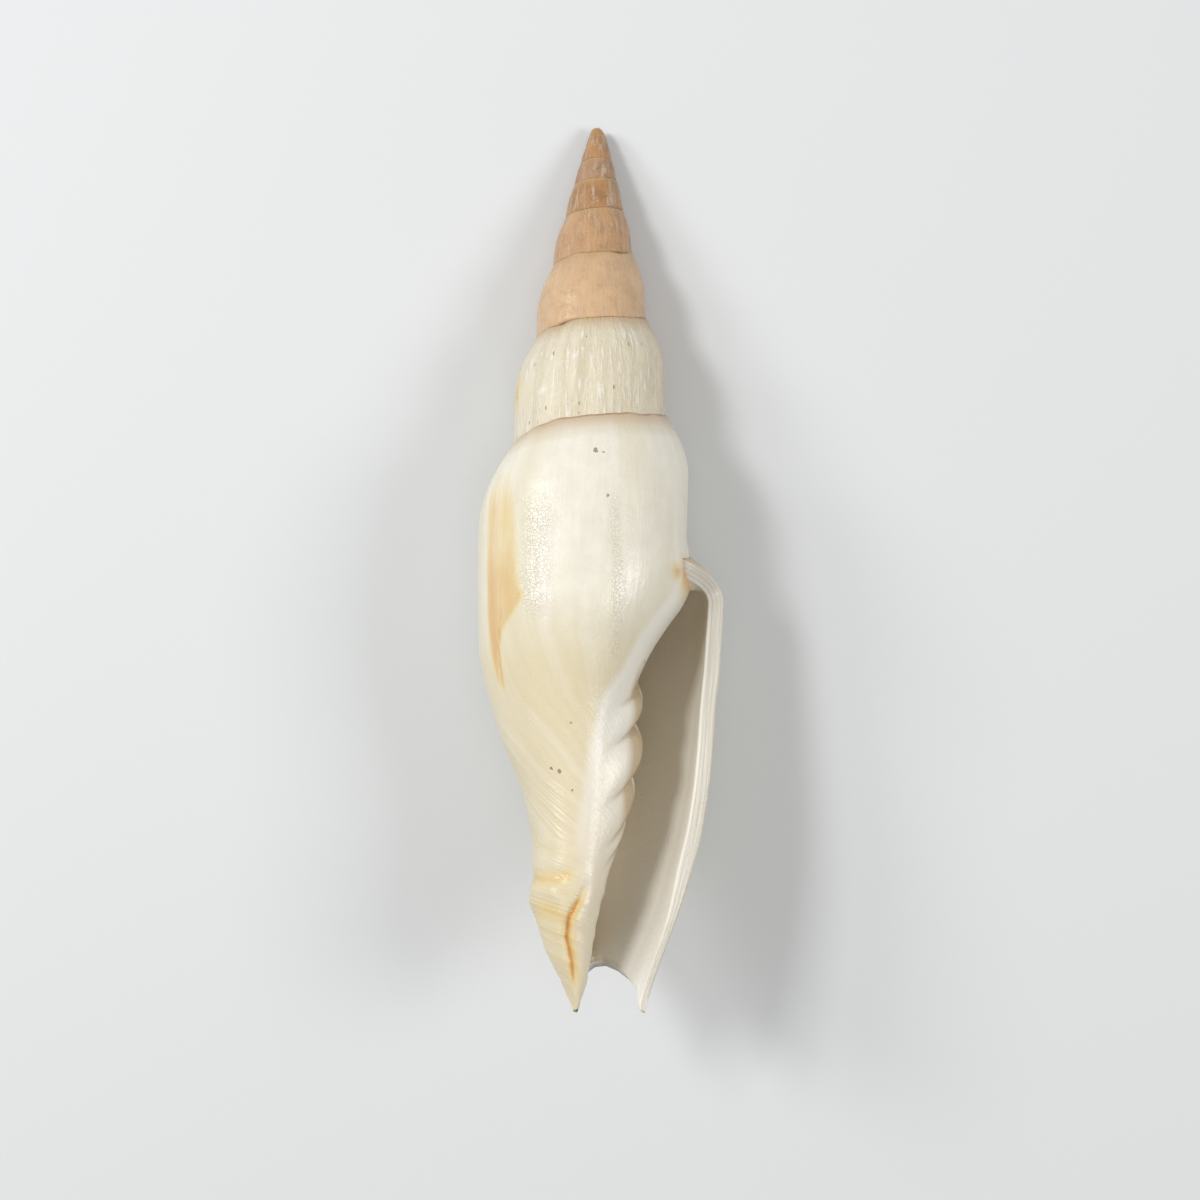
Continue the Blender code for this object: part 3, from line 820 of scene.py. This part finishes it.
# Painted shade, brown, deep in the foot of the mouth
painted_deep_shade = add("ValToRGB", {"stops": ((0.82, 0.0), (0.93, 0.9))}, share_down)
painted_deep_shade = add("Math", TIMES, painted_deep_shade, add("ValToRGB", {"stops": ((0.974, 1.0), (0.988, 0.0))}, grown))
inside_tone_and_painted_shade = add("Mix", BLEND, painted_deep_shade, inside_tone_and_painted_shade, "#8F754B")
colour = add("Mix", BLEND, add("ValToRGB", {"stops": ((0.95, 0.0), (1.0, 1.0))}, inwards), colour, inside_tone_and_painted_shade)
in_mouth_corner = add("ValToRGB", {"stops": ((0.5, 0.0), (0.9, 1.0))}, inwards)
in_mouth_corner = add("Math", TIMES, in_mouth_corner, add("Math", TIMES, stain, 1.6))
colour = add("Mix", BLEND, in_mouth_corner, colour, "#CFA862")
tree.links.new(colour, shader.inputs["Base Color"])

# Relief in millimetres. It ends short of the pointed foot, where the growth lines run together.
bare = add("Math", TIMES, at_waist, add("Math", LESS, 1.0, glazed))
thread_height = add("Math", PLUS, add("Math", TIMES, wear, 0.11), 0.03)
skin_height = add("Math", PLUS, add("Math", TIMES, wear, 0.12), 0.04)
relief = add("Math", TIMES, threads, thread_height)
relief = add("Math", PLUS, relief, add("Math", TIMES, add("Math", TIMES, threads, bare), 0.12))
relief = add("Math", PLUS, relief, add("Math", TIMES, skin, skin_height))
rim_relief = add("Math", TIMES, rimmed, rim_lines)
for raise_or_sink, pattern, height in (
    (LESS, cracks, 0.035),
    (PLUS, worm_lines_and_painted_sparkle, 0.05),
    (PLUS, scratches_and_painted_sparkle, 0.06),
    (PLUS, rim_relief, 0.08),
    (LESS, pits, 0.1),
):
    relief = add("Math", raise_or_sink, relief, add("Math", TIMES, pattern, height))
relief = add("Math", TIMES, relief, add("ValToRGB", {"stops": ((0.97, 1.0), (0.985, 0.0))}, share_down))
bumps = add("Bump", {"Strength": 1.0, "Distance": MM})
tree.links.new(relief, bumps.node.inputs["Height"])
tree.links.new(bumps, shader.inputs["Normal"])
tree.links.new(add("ValToRGB", {"stops": ((0.0, 0.27), (1.0, 0.42))}, wear), shader.inputs["Roughness"])
shader.inputs["IOR"].default_value = 1.55
shell_mesh.materials.append(porcelain)

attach(mitre_shell, "root")
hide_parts("shell")


# Floor: a plain pale studio sheet under the shell
floor_mesh = bmesh.new()
bmesh.ops.create_grid(floor_mesh, x_segments=1, y_segments=1, size=3.0)
floor_data = bpy.data.meshes.new("floor")
floor_mesh.to_mesh(floor_data)
floor_mesh.free()
floor = bpy.data.objects.new("floor", floor_data)
bpy.context.scene.collection.objects.link(floor)
pale_sheet = bpy.data.materials.new("matt_studio_sheet")
pale_sheet.use_nodes = True
pale_sheet.node_tree.nodes["Principled BSDF"].inputs["Base Color"].default_value = linear("#D9DBDC")
pale_sheet.node_tree.nodes["Principled BSDF"].inputs["Roughness"].default_value = 0.9
floor_data.materials.append(pale_sheet)


# Studio light: a high and a lower soft lamp on the left, a fill on the right, a weak one straight
# above, and a dim even surround. The high one and the one above leave no reflection.
AIM = Vector((0.0, 0.0, 0.01))


def softbox(name, stands_at, size, power):
    lamp = bpy.data.lights.new(name, "AREA")
    lamp.shape = "SQUARE"
    lamp.size = size
    lamp.energy = power
    holder = bpy.data.objects.new(name, lamp)
    bpy.context.scene.collection.objects.link(holder)
    holder.location = stands_at
    holder.rotation_euler = (Vector(stands_at) - AIM).to_track_quat("Z", "Y").to_euler()
    return holder


high_light = softbox("high_light", (-0.40, 0.20, 0.58), 0.15, 2.2)
high_light.visible_glossy = False
softbox("side_light", (-0.57, 0.20, 0.42), 0.20, 1.5)
softbox("fill_light", (0.56, 0.04, 0.56), 0.30, 2.0)
front_light = softbox("front_light", (0.05, -0.02, 0.75), 0.30, 0.55)
front_light.visible_glossy = False
surround = bpy.data.worlds.new("studio_surround")
surround.use_nodes = True
surround.node_tree.nodes["Background"].inputs["Color"].default_value = linear("#F2F2F0")
surround.node_tree.nodes["Background"].inputs["Strength"].default_value = 0.38
bpy.context.scene.world = surround
bpy.context.scene.view_settings.view_transform = "Standard"

# Camera: straight down, a degree or two off, turned so that the spire leans a little to the right
CAMERA_PLACE = (0.0, 0.009359, 0.434992)
CAMERA_TURN = (-1.99943, 0.04768, 1.36559)
lens = bpy.data.cameras.new("camera")
lens.sensor_width = 36.0
lens.lens = 95.094
lens.clip_start = 0.01
camera = bpy.data.objects.new("camera", lens)
camera.location = CAMERA_PLACE
camera.rotation_euler = [math.radians(angle) for angle in CAMERA_TURN]
bpy.context.scene.collection.objects.link(camera)
bpy.context.scene.camera = camera
